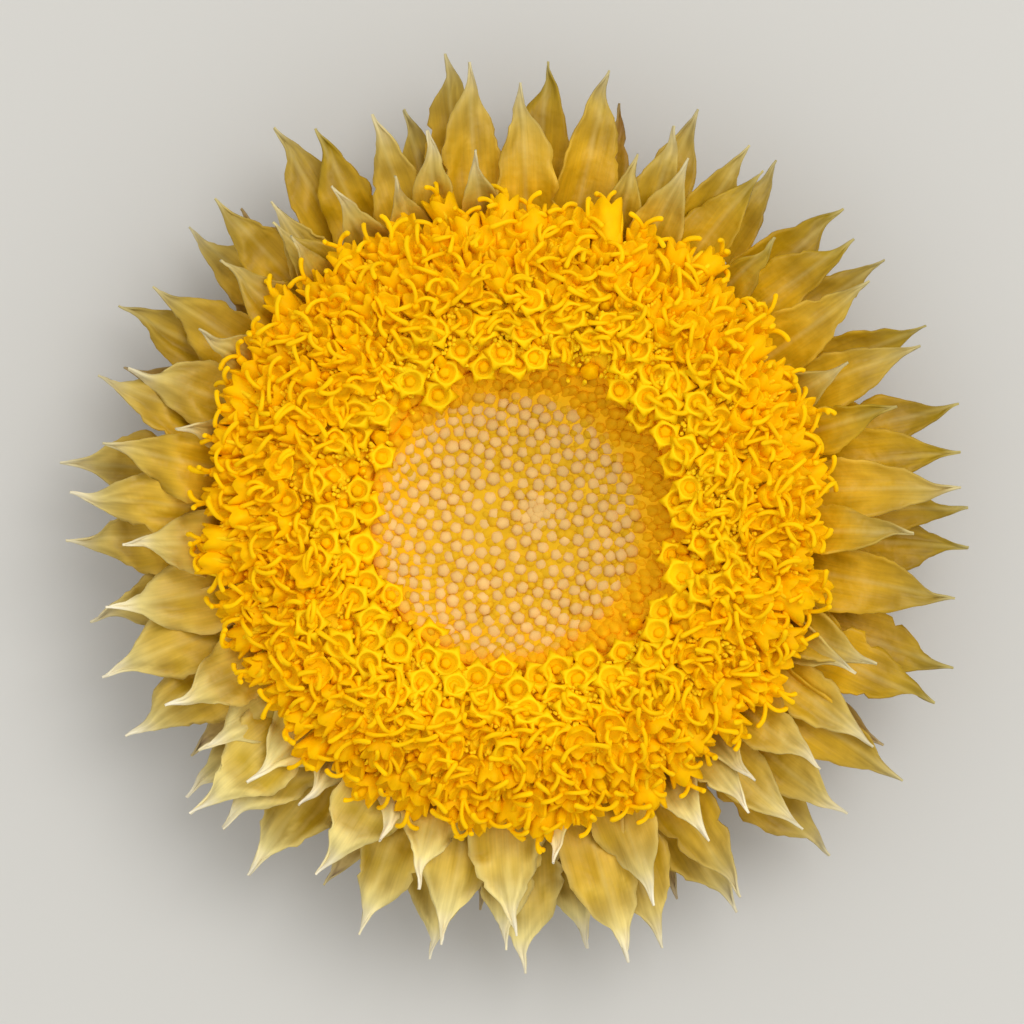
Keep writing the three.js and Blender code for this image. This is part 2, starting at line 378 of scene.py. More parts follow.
def scarious_bract(name, sizes, brown=False):
    """Scarious bract: a dry film of dead cells in long rows, coloured as it grew.

    The rows give a fine lengthwise grain and a satin sheen along it. The film bleaches to cream at
    the tip and margins, where it is thinnest.
    """
    material, add = new_material(name, Roughness=0.42, Specular_IOR_Level=0.22)
    grain = add("UVMap", uv_map="grain_mm")
    along, across = [add("SeparateXYZ", {0: grain}, out) for out in (0, 1)]
    pale, edge, layer, ridge = [add("Attribute", out="Fac", attribute_name=mark)
                                for mark in ("pale", "edge", "tone", "ridge")]
    from_tip = add("Math", {0: along, 1: 1 / 8}, operation="MULTIPLY", use_clamp=True)
    plain = add("ValToRGB", {0: from_tip}, stops=[
        (0.0, sizes.point), (0.1, sizes.tip), (0.33, sizes.middle), (0.56, sizes.near)])
    light = add("ValToRGB", {0: from_tip}, stops=[
        (0.04, sizes.pale_point), (0.2, sizes.pale_tip), (0.42, sizes.pale_middle), (0.8, sizes.pale_near)])
    # A bract pales from its point inwards, the more so the paler it is; that paleness is partly painted light
    reach = add("MapRange", {0: from_tip, 1: 0.05, 2: 0.32, 3: 2.8, 4: 1.0})
    paled = add("Math", {0: reach, 1: pale}, operation="MULTIPLY", use_clamp=True)
    base = add("Mix", {0: paled, 6: plain, 7: light}, 2, data_type="RGBA")
    if brown:
        weathered = add("ValToRGB", {0: from_tip}, stops=[
            (0.0, linear("6E4216")), (0.15, sizes.brown), (0.6, sizes.middle)])
        base = add("Mix", {0: 0.75, 6: base, 7: weathered}, 2, data_type="RGBA")
    # Rows of cells about 0.1 mm apart, running lengthwise
    drift = add("Attribute", out="Vector", attribute_name="drift")
    own = add("VectorMath", {0: grain, 1: drift}, operation="ADD")
    rows = add("VectorMath", {0: own, 1: (0.45, 9.5, 1)}, operation="MULTIPLY")
    striae = add("TexNoise", {"Vector": rows, "Scale": 1.0, "Detail": 1.0})
    # Cloudy patches 1.5 mm across, where the film dried unevenly
    clouds = add("TexNoise", {"Vector": own, "Scale": 0.7, "Detail": 2.0})
    shade = add("MapRange", {0: striae, 1: 0.3, 2: 0.7, 3: 0.93, 4: 1.05})
    patch = add("MapRange", {0: clouds, 1: 0.3, 2: 0.7, 3: 0.86, 4: 1.1})
    both = add("Math", {0: shade, 1: patch}, operation="MULTIPLY")
    # Painted shade: the tone mark darkens the lower layers of bracts
    both = add("Math", {0: both, 1: layer}, operation="MULTIPLY")
    # Creases stand up; painted highlight lightens their ridges, most of all on the paler bracts, and painted
    # shade darkens the hollows between them
    raised = add("MapRange", {0: ridge, 3: 0.86, 4: 1.06})
    both = add("Math", {0: both, 1: raised}, operation="MULTIPLY")
    ridge_highlight = add("Math", {0: ridge, 1: pale}, operation="MULTIPLY")
    ridge_highlight = add("Math", {0: ridge_highlight, 1: 0.3}, operation="MULTIPLY")
    base = add("Mix", {0: ridge_highlight, 6: base, 7: sizes.pale_tip}, 2, data_type="RGBA")
    toned = add("Mix", {0: 1.0, 6: base, 7: both}, 2, data_type="RGBA", blend_type="MULTIPLY")
    # The thin margin bleaches, most of all on the paler bracts
    margin = add("MapRange", {0: edge, 1: 0.75, 2: 1.0, 3: 0.0, 4: 0.6})
    margin = add("Math", {0: margin, 1: pale}, operation="MULTIPLY")
    toned = add("Mix", {0: margin, 6: toned, 7: sizes.pale_tip}, 2, data_type="RGBA")
    off_rib = add("Math", {0: across}, operation="ABSOLUTE")
    rib = add("MapRange", {0: off_rib, 1: 0.02, 2: 0.16, 3: 0.14, 4: 0.0})
    toned = add("Mix", {0: rib, 6: toned, 7: sizes.pale_tip}, 2, data_type="RGBA")
    # Fine puckers 0.4 mm across, from drying
    pucker = add("TexNoise", {"Vector": own, "Scale": 2.4, "Detail": 1.0})
    bump = add("Bump", {"Strength": 0.7, "Distance": 0.07 * MM, "Height": pucker})
    bump = add("Bump", {"Strength": 0.35, "Distance": 0.03 * MM, "Height": striae, "Normal": bump})
    return linked(material, Base_Color=toned, Normal=bump)


def floret_tissue(name, low, high, roughness=0.5, from_rise=0.2, to_rise=0.9):
    """Floret tissue: soft living-looking cells that keep their pigment when dried.

    Every cell bulges, which scatters the light into a soft, nearly matt, saturated yellow.
    """
    material, add = new_material(name, Roughness=roughness, Specular_IOR_Level=0.04)
    rise, tone, fade = [add("Attribute", out="Fac", attribute_name=mark)
                        for mark in ("rise", "tone", "fade")]
    place = add("TexCoord", out="Object")
    kept = add("Math", {0: 1.0, 1: fade}, operation="SUBTRACT")
    climb = add("MapRange", {0: rise, 1: from_rise, 2: to_rise})
    climb = add("Math", {0: climb, 1: kept}, operation="MULTIPLY")
    base = add("Mix", {0: climb, 6: low, 7: high}, 2, data_type="RGBA")
    wall = bpy.context.scene.daisy_florets.wall
    base = add("Mix", {0: fade, 6: base, 7: wall}, 2, data_type="RGBA")
    # Bulging cells about 0.05 mm across, drawn twice as wide so that they show
    cells = add("TexNoise", {"Vector": place, "Scale": 1 / (0.11 * MM), "Detail": 0.0})
    fleck = add("TexNoise", {"Vector": place, "Scale": 1 / (0.5 * MM), "Detail": 1.0})
    uneven = add("MapRange", {0: fleck, 1: 0.3, 2: 0.7, 3: 0.92, 4: 1.05})
    # The tone mark holds random tone, and on the buds and their tufts painted light too
    both = add("Math", {0: uneven, 1: tone}, operation="MULTIPLY")
    toned = add("Mix", {0: 1.0, 6: base, 7: both}, 2, data_type="RGBA", blend_type="MULTIPLY")
    bump = add("Bump", {"Strength": 0.3, "Distance": 0.01 * MM, "Height": cells})
    return linked(material, Base_Color=toned, Normal=bump)


def woolly_stem(sizes):
    """Cut stem: a green stalk under close white down, dried. The down greys it and kills its gloss."""
    material, add = new_material("woolly_stem", Roughness=0.9)
    place = add("TexCoord", out="Object")
    drawn = add("VectorMath", {0: place, 1: (1, 1, 0.25)}, operation="MULTIPLY")
    # Matted hairs about 0.08 mm apart, lying lengthwise
    down = add("TexNoise", {"Vector": drawn, "Scale": 1 / (0.08 * MM), "Detail": 4.0})
    cover = add("MapRange", {0: down, 1: 0.38, 2: 0.6})
    base = add("Mix", {0: cover, 6: sizes.skin, 7: sizes.wool}, 2, data_type="RGBA")
    bump = add("Bump", {"Strength": 0.8, "Distance": 0.05 * MM, "Height": down})
    return linked(material, Base_Color=base, Normal=bump)


def matt_board(sizes):
    """Painted board: rolled matt paint, a pale even ground with the faintest mottle."""
    material, add = new_material("matt_board", Roughness=0.85)
    place = add("TexCoord", out="Object")
    mottle = add("TexNoise", {"Vector": place, "Scale": 1 / (30 * MM), "Detail": 2.0})
    even = add("MapRange", {0: mottle, 3: 0.985, 4: 1.0})
    toned = add("Mix", {0: 1.0, 6: sizes.floor, 7: even}, 2, data_type="RGBA", blend_type="MULTIPLY")
    return linked(material, Base_Color=toned)


# Bracts

ROWS = 46
COLUMNS = 14
BLADE_MARKS = ("pale", "edge", "drift", "tone", "ridge")
# Painted shade: the lower a bract lies, the darker its colour, for the less light it has behind it
PAINTED_LAYER_SHADES = {"outer": 0.9, "inner": 0.98}


def rib_of(node):
    """The middle line of a bract's node, from its seat to its tip."""
    spots = {tuple(round(c, 7) for c in vert.co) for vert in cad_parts[node].data.vertices}
    ordered = sorted((Vector(spot) for spot in spots), key=lambda spot: (spot.to_2d() - AXIS).length)
    if len(ordered) % 6:
        raise RuntimeError(f"{node} isn't made of sections of six corners")
    return [sum(ordered[i:i + 6], Vector()) / 6 for i in range(0, len(ordered), 6)]


def rib_along(profile_mm, bearing, sway):
    """A rib whose (distance from the axis, height) rows are given, swaying to its tip's bearing."""
    last = len(profile_mm) - 1
    return [around(bearing - sway * (1 - (i / last) ** 2), r * MM, z * MM)
            for i, (r, z) in enumerate(profile_mm)]


def add_blade(bm, rib, rng, sizes, scale=1.0, pale_by=0.0, shoulder=None, cup=0.55, tone=1.0, coarse=1):
    """Bends one flat grid along a rib into a bract, with fewer faces where it is mostly covered."""
    start, end = rib[0], rib[-1]
    toward = end - start
    path = Path(rib, toward.cross(UP).normalized())
    bearing = math.degrees(math.atan2(*(end.to_2d() - AXIS))) % 360
    round_shoulder, pale, droop = eased(ROUND_THE_HEAD, bearing)
    if shoulder is not None:
        round_shoulder = shoulder
    round_shoulder = min(max(round_shoulder + rng.uniform(-0.2, 0.2), 0), 1)
    pale = min(max(pale + (pale_by + rng.uniform(-0.2, 0.2)) * (0.3 + pale), 0), 1)
    twist = math.radians(rng.uniform(-16, 16))
    point_bend = rng.uniform(-0.22, 0.22) * MM
    hook = (rng.uniform(-0.2, 0.35) - 0.45 * droop) * MM
    fold = rng.uniform(0.2, 0.6)
    skew = rng.uniform(-0.12, 0.12)
    drift = rng.uniform(0, 90)
    lopsided = rng.uniform(-0.5, 0.5)
    grain = bm.loops.layers.uv["grain_mm"]
    marks = [bm.verts.layers.float[mark] for mark in BLADE_MARKS]
    pale_mark, edge_mark, drift_mark, tone_mark, ridge_mark = marks
    grid = bmesh.ops.create_grid(bm, x_segments=ROWS // coarse, y_segments=COLUMNS // coarse, size=0.5)
    spots = {}
    for vert in grid["verts"]:
        along, across = vert.co.x + 0.5, 2 * vert.co.y
        t = 1 - (1 - along) ** 1.5
        left = path.length * (1 - t)
        left_mm = left / MM / scale
        half = MM * scale * sizes.width * ((1 - round_shoulder) * eased(TAPERED_MM, left_mm)
                                           + round_shoulder * eased(SHOULDERED_MM, left_mm))
        half *= 1 + skew * across
        # The margin is uneven, with a few notches, each side in its own way
        hand = math.copysign(11, across)
        half *= 1 + 0.15 * abs(across) * noise_at(left_mm * 1.1, hand, drift)
        half *= 1 + 0.07 * abs(across) ** 3 * noise_at(left_mm * 3.1, hand, drift + 4)
        notch = smooth(0.2, 0.55, noise_at(left_mm * 1.5, hand, drift + 7))
        half *= 1 - 0.2 * abs(across) ** 4 * notch
        spot, _, side, face = path.at(path.length - left)
        # Cupped low down, flatter at the shoulders, folded along the rib in the point
        bend = cup * (1 - smooth(0.45, 0.8, t)) + 0.15 + fold * smooth(0.86, 0.97, t)
        shoulders = smooth(0.35, 0.6, t) * (1 - smooth(0.8, 0.92, t))
        bend += (0.35 + lopsided * math.copysign(1, across)) * shoulders
        bend -= 1.1 * droop * smooth(0.45, 0.75, t) * (1 - smooth(0.85, 0.95, t))
        bend = bend if abs(bend) > 0.01 else 0.01
        offset = half * math.sin(across * bend) / bend
        lift = half * (1 - math.cos(across * bend)) / bend
        calm = 1 - smooth(0.74, 0.9, t)
        ripple = sizes.waviness * (1 + 1.6 * droop) * across ** 2 * smooth(0.3, 0.6, t) * (0.3 + 0.7 * calm)
        lift += ripple * noise_at(left_mm * 1.1, hand, drift + 9)
        crease = 1 - 2.4 * abs(noise_at(left_mm * 0.5, across * 1.9, drift + 3))
        lift += (0.06 + 0.2 * droop) * MM * crease * calm
        lift += (0.2 + 0.16 * droop) * MM * noise_at(left_mm * 0.5, across * 0.9, drift)
        lift += (0.05 + 0.09 * droop) * calm * MM * noise_at(left_mm * 1.1, across * 2.1, drift + 5)
        lift += 0.025 * MM * math.cos(3 * math.pi * across) * smooth(0.9, 0.6, t)
        lift += hook * smooth(0.7, 1.0, t) ** 1.5
        offset += point_bend * math.sin(math.pi * smooth(0.8, 1.0, t))
        turn = twist * smooth(0.25, 0.85, t)
        spots[vert] = (left_mm, offset / MM)
        vert.co = spot + side * (offset * math.cos(turn) - lift * math.sin(turn)) \
            + face * (offset * math.sin(turn) + lift * math.cos(turn))
        vert.co.z = max(vert.co.z, sizes.film)
        vert[pale_mark] = pale
        vert[edge_mark] = abs(across)
        vert[drift_mark] = drift
        vert[tone_mark] = tone
        # The crease's height, which the bract's material turns into painted highlight and painted shade
        vert[ridge_mark] = smooth(0, 1, crease)
    for face in {face for vert in grid["verts"] for face in vert.link_faces}:
        for loop in face.loops:
            left_mm, offset_mm = spots[loop.vert]
            loop[grain].uv = (left_mm, offset_mm)


def blade_bmesh():
    bm = marked(*BLADE_MARKS)
    bm.loops.layers.uv.new("grain_mm")
    return bm


def finished_blades(name, bm, material, sizes, nodes=()):
    """Gives a film of blades its thickness and hands it over."""
    bmesh.ops.recalc_face_normals(bm, faces=bm.faces)
    piece = finished(name, bm, material, nodes)
    film = piece.modifiers.new("Film", "SOLIDIFY")
    film.thickness = sizes.film
    film.offset = 0
    return piece


class DAISY_OT_node_bracts(bpy.types.Operator):
    """Model every bract that has a node of its own"""
    bl_idname = "daisy.node_bracts"
    bl_label = "Bracts with nodes"

    def execute(self, context):
        sizes = context.scene.daisy_bracts
        material = scarious_bract("scarious_bract", sizes)
        weathered = scarious_bract("weathered_bract", sizes, brown=True)
        rng = random.Random(SEED)
        for node in sorted(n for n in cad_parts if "_bract_" in n):
            kind = node.split("_bract_")[0]
            bm = blade_bmesh()
            if kind == "basal":
                add_blade(bm, rib_of(node), rng, sizes, scale=1.0, shoulder=0.3, cup=0.3)
            else:
                add_blade(bm, rib_of(node), rng, sizes, tone=PAINTED_LAYER_SHADES[kind])
            finished_blades(node.replace("bract", "blade"), bm, weathered if kind == "basal" else material,
                            sizes, [node])
        return {"FINISHED"}


class DAISY_OT_upper_bracts(bpy.types.Operator):
    """Model the bracts that lie over the ones with nodes, up to the florets"""
    bl_idname = "daisy.upper_bracts"
    bl_label = "Upper bracts"

    def execute(self, context):
        sizes = context.scene.daisy_bracts
        material = bpy.data.materials["scarious_bract"]
        rng = random.Random(SEED + 1)
        series = [
            ("upper_blades", UPPER_MM, 7.7, 1.0, 1,
             [(8.3, 4.5), (10.3, 6.0), (12.6, 7.0), (14.6, 7.6), (16.6, 7.8)]),
            ("innermost_blades", INNERMOST_MM, 9.0, 0.92, 1,
             [(8.15, 4.5), (10.3, 6.2), (12.3, 7.5), (14.2, 8.5)]),
            ("closest_blades", CLOSEST_MM, 9.9, 0.85, 1, [(8.0, 4.6), (10.3, 6.4), (12.2, 7.8), (13.7, 8.9)]),
            ("filling_blades", FILLING_MM, 6.3, 0.9, 2, [(8.15, 3.9), (10.3, 5.2), (12.4, 6.0)]),
        ]
        for name, rows, tip_height, scale, coarse, profile in series:
            bm = blade_bmesh()
            for i, (bearing, reach) in enumerate(rows):
                raised = 0.22 * (i % 2)
                kept = [(r, z + raised) for r, z in profile if r < reach - 1.2]
                rib = rib_along([*kept, (reach, tip_height + raised)], bearing, rng.uniform(-2.5, 2.5))
                # Painted light: the upper bracts are painted 4% lighter for their higher layer
                add_blade(bm, rib, rng, sizes, scale=scale, pale_by=0.1, tone=1.04, coarse=coarse)
            finished_blades(name, bm, material, sizes)
        return {"FINISHED"}


class DAISY_OT_lower_bracts(bpy.types.Operator):
    """Model the short weathered bracts between the long ones and the stem"""
    bl_idname = "daisy.lower_bracts"
    bl_label = "Lower bracts"

    def execute(self, context):
        sizes = context.scene.daisy_bracts
        weathered = bpy.data.materials["weathered_bract"]
        rng = random.Random(SEED + 2)
        bm = blade_bmesh()
        for bearing, reach in BROWN_TIPS_MM:
            rib = rib_along([(8.2, 2.5), (10.5, 3.3), (13.5, 4.0), (16.0, 4.1), (reach, 3.8)], bearing, 0)
            add_blade(bm, rib, rng, sizes, scale=0.8, coarse=2)
        for i in range(22):
            bearing = i * 360 / 22 + rng.uniform(-4, 4)
            reach = rng.uniform(15.8, 17.2)
            low = 0.3 * (i % 2)
            profile = [(7.2, 2.3 + low), (10, 2.9 + low), (13, 2.9 + low), (reach, 2.2 + low)]
            rib = rib_along(profile, bearing, 0)
            add_blade(bm, rib, rng, sizes, scale=0.9, cup=0.4, coarse=2)
        for i in range(16):
            bearing = i * 360 / 16 + rng.uniform(-5, 5)
            rib = rib_along([(3.4, 1.75), (5.2, 1.85), (7.2, 2.05), (rng.uniform(8.8, 9.8), 2.3)], bearing, 0)
            add_blade(bm, rib, rng, sizes, scale=0.8, cup=0.3, coarse=2)
        finished_blades("weathered_blades", bm, weathered, sizes)
        return {"FINISHED"}


# Florets

# Distance of a bud's seat from the axis, then the distance and height of its tip
BUD_PROFILE_MM = [(0, 0, 8.55), (2.6, 3.1, 8.5), (4.3, 5.05, 8.45), (5.0, 5.75, 8.7), (5.6, 6.2, 9.1),
                  (6.3, 6.75, 9.6)]
# Distance of an open floret's mouth from the axis, then its height and how many degrees it leans out
RING_PROFILE_MM = [(6.4, 9.8, -14), (7.0, 10.4, -5), (8.4, 11.0, 7), (10.2, 11.1, 20), (12.0, 10.5, 42),
                   (13.1, 9.8, 64), (13.9, 9.25, 78)]
# The matted pappus fills the ring up to 0.4 mm under the mouths
MAT_TOP_MM = [(6.5, 9.1), (7.0, 9.75), (8.0, 10.4), (10.2, 10.6), (11.6, 10.1), (12.4, 9.35)]
MAT_PROFILE_MM = [(6.0, 4.85), (6.2, 7.4),
                  *((6.5 + k / 4, eased(MAT_TOP_MM, 6.5 + k / 4)) for k in range(24)),
                  (12.5, 8.9), (11.3, 8.05), (9.9, 6.9), (8.3, 5.3), (8.0, 4.85), (6.0, 4.85)]
CUSHION_PROFILE_MM = [(0, 5), (5.5, 5), (6.2, 7.0), (6.8, 8.9), (6.75, 9.15), (6.2, 8.75), (5.75, 8.38),
                      (5.0, 8.18), (3.1, 8.24), (0, 8.3)]
# The ring's inner and outer edge, at the seats of its florets and at their mouths
RING_SEAT_MM = (5.7, 8.0)
RING_TOP_MM = (6.45, 13.75)
SEAT_HEIGHT_MM = 4.9
# The open florets go on with the buds' spiral, from about this floret
FIRST_OPEN = 318
# Steps along the spiral that lead to a floret's neighbours
NEIGHBOUR_STEPS = (1, 2, 3, 5, 8, 13, 21, 34)
# Gaps between mouths that a late floret or a brush of pappus fills, and the brush's bristles
FLORET_GAP_MM = 0.74
BRUSH_GAP_MM = 0.55
BRUSH_BRISTLES = 5
# How far the florets at a distance from the axis lean to +X and to +Y
LEAN_MM = [(0, 1.1, 0.05), (4.5, 0.8, -0.15), (6.6, 0.45, -0.28), (10, 0.2, -0.1), (13.9, 0, 0)]


def leaned(spot):
    """Leans the florets towards the middle of the hollow, the more so the higher the spot."""
    x, y = eased(LEAN_MM, (spot.to_2d() - AXIS).length / MM)
    rise = min(max((spot.z / MM - 5) / 4, 0), 1)
    return spot + Vector((x, y, 0)) * (rise * MM)


def even_share(low, high, part):
    """The distance from the axis that leaves a part of a ring's area inside it."""
    return math.sqrt(low ** 2 + part * (high ** 2 - low ** 2))


def ring_path(bearing, top, sunk, rng):
    """The line that something in the ring grows along, to a distance from the axis, in mm."""
    height, tilt = eased(RING_PROFILE_MM, top)
    mouth = around(bearing, top * MM, (height - sunk) * MM)
    back = math.radians(tilt + rng.uniform(-18, 18))
    out_way = heading(bearing + rng.uniform(-14, 14))
    knee = mouth - (out_way * math.sin(back) + UP * math.cos(back)) * 2.4 * MM
    low, high = RING_TOP_MM
    out = min(max((top ** 2 - low ** 2) / (high ** 2 - low ** 2), 0), 1)
    seat = around(bearing, even_share(*RING_SEAT_MM, out) * MM, SEAT_HEIGHT_MM * MM)
    return Path([leaned(seat), leaned(knee), leaned(mouth)], heading(bearing + 90), steps=8)


def ring_paths(sizes):
    """The line of every open floret, and how far out in the ring it stands."""
    rng = random.Random(SEED + 4)
    rows = []
    for n in range(sizes.open_count):
        out = n / sizes.open_count
        bearing = math.degrees((FIRST_OPEN + n) * GOLDEN_ANGLE) % 360 + rng.uniform(-1.6, 1.6)
        top = even_share(*RING_TOP_MM, out) + rng.uniform(-0.25, 0.25) * (1 + 0.4 * out)
        rows.append((ring_path(bearing, top, rng.uniform(-0.22, 0.22), rng), out))
    return rows


def mouths_of(rows):
    """A tree that finds the nearest mouth of an open floret."""
    tree = kdtree.KDTree(len(rows))
    for i, (path, _) in enumerate(rows):
        tree.insert(path.spots[-1], i)
    tree.balance()
    return tree


def wall_share(reach, bearing):
    """How far a bud is one of the golden ones on the wall, which shows most to the upper right."""
    limit = 5.65 - 0.95 * math.cos(math.radians(bearing - 70))
    return smooth(limit - 0.35, limit + 0.35, reach)


def floor_rise(bearing, reach):
    """How far the floor of the hollow slopes up to the lower left, in mm."""
    return 0.45 * smooth(2, 6, reach) * (0.5 - 0.5 * math.cos(math.radians(bearing - 70)))


def turned_on_axis(profile_mm, sides, grain, depth, sloped=False):
    """A leaned, lumpy solid turned about the head's axis, marked where it is on the wall."""
    bm = turned(profile_mm, sides)
    tone, fade = bm.verts.layers.float.new("tone"), bm.verts.layers.float.new("fade")
    bmesh.ops.scale(bm, vec=(MM, MM, MM), verts=bm.verts)
    bmesh.ops.translate(bm, vec=(*AXIS, 0), verts=bm.verts)
    bmesh.ops.subdivide_edges(bm, edges=bm.edges, cuts=1, use_grid_fill=True)
    for vert in bm.verts:
        radius = (vert.co.to_2d() - AXIS).length / MM
        vert[tone], vert[fade] = 1.0, smooth(4.6, 5.8, radius) * (1 - smooth(6.8, 8.2, radius))
        if sloped and vert.co.z > 7.5 * MM:
            bearing = math.degrees(math.atan2(*(vert.co.to_2d() - AXIS)))
            vert.co.z += (floor_rise(bearing, radius) + 0.09 + 0.1 * smooth(5, 6.2, radius)) * MM
        vert.co = leaned(vert.co) + noise.noise_vector(vert.co / grain) * depth
    return bm


def grooved(depth, low, high):
    """Draws five grooves into a turned part, from nothing at the low height to full at the high one."""
    def draw_in(vert, rise):
        fold = 0.5 + 0.5 * math.cos(5 * math.atan2(vert.co.y, vert.co.x))
        kept = 1 - depth * smooth(low, high, vert.co.z) * fold
        vert.co.x *= kept
        vert.co.y *= kept
    return draw_in


def lobed(inner, outer, tip, beside, lifted):
    """Draws the rim of a 20-sided corolla, between two radii, out into five lobes."""
    def draw_out(vert, rise):
        radius = vert.co.to_2d().length
        if inner < radius < outer and vert.co.z > -0.06:
            turn = abs((round(math.atan2(vert.co.y, vert.co.x) / math.tau * 20) + 2) % 4 - 2)
            stretch, lift = ((tip, lifted), (beside, lifted * 0.62), (1.0, 0.0))[turn]
            vert.co.x *= stretch
            vert.co.y *= stretch
            vert.co.z += lift
            vert[rise] = 1.0
        elif radius < inner and vert.co.z > -1.1:
            vert[rise] = 0.3
    return draw_out


# Floret parts with their height 0 at the mouth or tip: the profile in mm, the sides, the heights
# between which the colour changes, and what draws the part out of round
FLORET_PARTS = {
    # A young unopened floret: a soft round top of five closed lobes
    "bud": ([(0, -3.6), (0.2, -3.6), (0.29, -0.9), (0.315, -0.5), (0.305, -0.25), (0.26, -0.1),
             (0.16, -0.025), (0, 0.0)], 15, (-0.36, -0.1), grooved(0.13, -0.9, -0.2)),
    # An older unopened floret: longer, with its lobes drawn to a point
    "rising": ([(0, -3.6), (0.24, -3.6), (0.33, -1.3), (0.37, -0.8), (0.33, -0.42), (0.21, -0.14),
                (0.08, 0.0), (0, 0.03)], 15, (-0.36, -0.1), grooved(0.18, -1.4, -0.5)),
    # The tips of the pappus, matted between the buds
    "tuft": ([(0, -2.6), (0.18, -2.6), (0.31, -0.45), (0.26, -0.14), (0.13, -0.02), (0, 0)],
             9, (1, 2), None),
    # A corolla open flat: a thick round rim and five short spread points
    "star": ([(0, -4.3), (0.24, -4.3), (0.32, -1.5), (0.46, -0.5), (0.56, -0.05), (0.53, 0.04),
              (0.46, 0.05), (0.42, -0.02), (0.37, -0.22), (0, -0.28)],
             20, (-2.2, 0), lobed(0.55, 0.6, 1.55, 1.14, 0.04)),
    # A corolla of the outer rows: a swollen bell whose blunt lobes still point forwards
    "goblet": ([(0, -4.3), (0.22, -4.3), (0.28, -2.1), (0.45, -1.35), (0.57, -0.65), (0.59, -0.05),
                (0.5, -0.04), (0.43, -0.2), (0.3, -0.28), (0, -0.3)],
               20, (-2.2, 0), lobed(0.46, 0.62, 1.2, 1.1, 0.32)),
    # A corolla about to open, its lobes still folded together
    "shut": ([(0, -4.0), (0.24, -4.0), (0.3, -1.7), (0.4, -0.95), (0.42, -0.6), (0.35, -0.28),
              (0.19, -0.02), (0.06, 0.1), (0, 0.12)], 15, (-2.2, 0), grooved(0.2, -1.5, -0.6)),
    "anther": ([(0, -0.9), (0.22, -0.9), (0.27, -0.25), (0.27, -0.09), (0.22, 0.02), (0.11, 0.06),
                (0, 0.03)], 15, (-0.7, 0.1), grooved(0.16, -0.6, -0.1)),
    "bristle": ([(0, -2.2), (0.09, -2.2), (0.12, -0.7), (0.1, -0.12), (0, 0)], 5, (1, 2), None),
}


def floret_part(name):
    """The mesh of a floret part, marked by how high each vertex is."""
    profile_mm, sides, rises, reshape = FLORET_PARTS[name]
    bm = turned(profile_mm, sides)
    rise = bm.verts.layers.float.new("rise")
    for vert in bm.verts:
        vert[rise] = smooth(*rises, vert.co.z)
        if reshape:
            reshape(vert, rise)
    bmesh.ops.scale(bm, vec=(MM, MM, MM), verts=bm.verts)
    return mesh_of(name, bm)


def style_arm():
    """A straight rod one unit long and one wide, a little thicker at its blunt end."""
    rings = [(0.4, 0.0), (0.4, 0.17), (0.4, 0.34), (0.41, 0.5), (0.44, 0.66), (0.48, 0.82), (0.49, 0.93),
             (0.32, 1.0)]
    bm = turned([(0, 0), *rings, (0, 1.01)], 6)
    rise = bm.verts.layers.float.new("rise")
    for vert in bm.verts:
        vert[rise] = vert.co.z
    return mesh_of("style_arm", bm)


def laid_along(path, start, turn=0.0, wide=1.0, long=1.0, beside=0.0):
    """A move that lays an upright template along a path, its height 0 at the start given."""
    cos, sin = math.cos(turn), math.sin(turn)

    def place(co):
        spot, _, side, face = path.at(start + co.z * long)
        across = co.x * wide + beside
        x, y = across * cos - co.y * wide * sin, across * sin + co.y * wide * cos
        spot = spot + side * x + face * y
        return spot + noise.noise_vector(spot / (0.7 * MM)) * (0.055 * MM)
    return place


def arm_line(path, start, way, reach, rng, steep=0.0):
    """The line of a style arm: out of the anthers, over to one side, and on in a loose curl."""
    spot, ahead, side, face = path.at(start)
    climb, drop, wander = rng.uniform(25, 65) + steep, rng.uniform(45, 100), rng.uniform(-1.6, 1.6)
    spots = [spot]
    steps = 6
    for k in range(steps):
        part = k / (steps - 1)
        turn = way + wander * part
        slope = math.radians(climb - drop * part)
        level = side * math.cos(turn) + face * math.sin(turn)
        spots.append(spots[-1] + (level * math.cos(slope) + ahead * math.sin(slope)) * (reach / steps))
    return Path(spots, ahead.cross(side * math.cos(way) + face * math.sin(way)), steps=3)


